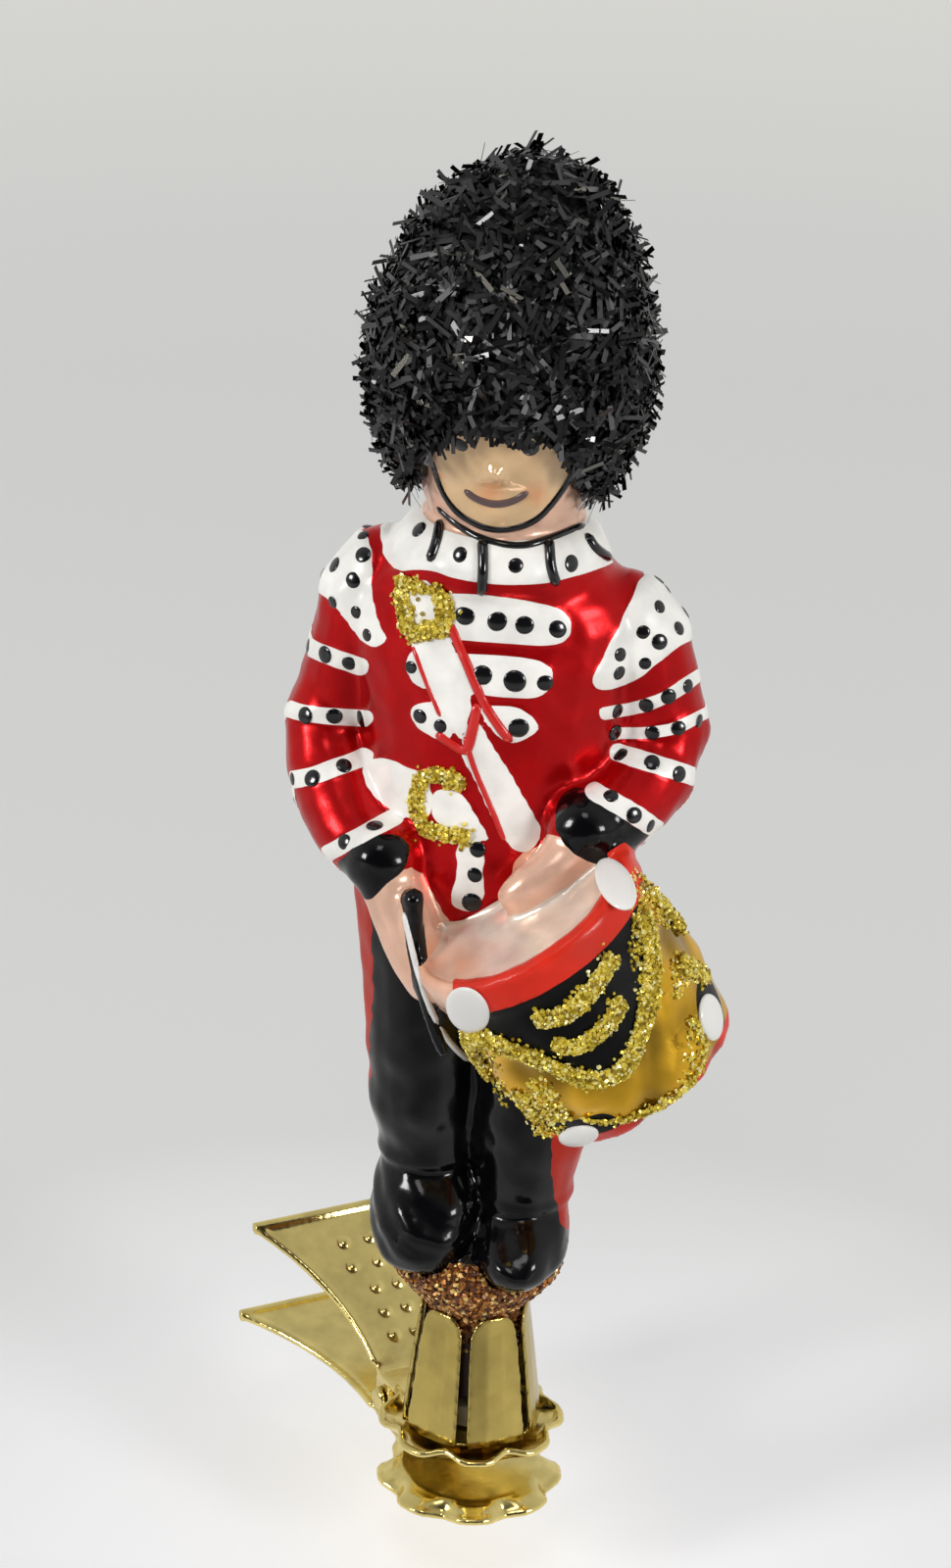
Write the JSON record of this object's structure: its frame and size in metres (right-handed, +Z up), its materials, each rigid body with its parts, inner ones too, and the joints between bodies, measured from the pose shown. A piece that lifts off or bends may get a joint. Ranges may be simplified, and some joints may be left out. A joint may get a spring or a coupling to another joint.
{
  "type": "clip-on figure ornament",
  "caption": "Blown-glass guard drummer with a tinsel bearskin, glued in a petal cup on a sprung brass clip that grips a branch or a shelf edge.",
  "frame": {"origin": "middle of the upper jaw's clamping face", "axes": "+Z up through the figure to its hat, the figure faces -Y, the finger tabs point behind it and to -X"},
  "size_m": [0.0539, 0.0579, 0.1425],
  "materials": {
    "lacquered_glass": "silvered inside, coloured lacquer and enamel outside",
    "black_tinsel": "cut film strips, black",
    "gold_glitter": "gold flakes in clear glue",
    "copper_glitter": "copper flakes in clear glue",
    "adhesive": "set glue",
    "clip_brass": "bright stamped sheet",
    "spring_wire": "drawn wire"
  },
  "bodies": {
    "figure_and_upper_jaw": {"glass_figure": "lacquered_glass", "bearskin_tinsel": "black_tinsel", "cross_belt_buckle_glitter": "gold_glitter", "waist_buckle_glitter": "gold_glitter", "drum_chevron_upper": "gold_glitter", "drum_chevron_lower": "gold_glitter", "drum_swag": "gold_glitter", "drum_top_band": "gold_glitter", "drum_right_patch": "gold_glitter", "drum_outer_band": "gold_glitter", "drum_lower_patch": "gold_glitter", "ground_glitter": "copper_glitter", "adhesive_bed": "adhesive", "petal_cup": "clip_brass", "cup_rivet": "clip_brass", "upper_lever": "clip_brass", "hinge_pin": "clip_brass", "torsion_spring": "spring_wire"},
    "lower_jaw": {"lower_lever": "clip_brass"}
  },
  "joints": [
    {"name": "clip hinge", "type": "hinge", "parent": "figure_and_upper_jaw", "child": "lower_jaw", "pos_m": [-0.00705, 0.00971, -0.0022], "axis": [0.809, 0.5878, 0], "range_deg": [-12.5, 24], "stiffness_Nm_per_rad": 0.1, "springref_deg": -34.38, "deforming": ["torsion_spring"]}
  ]
}
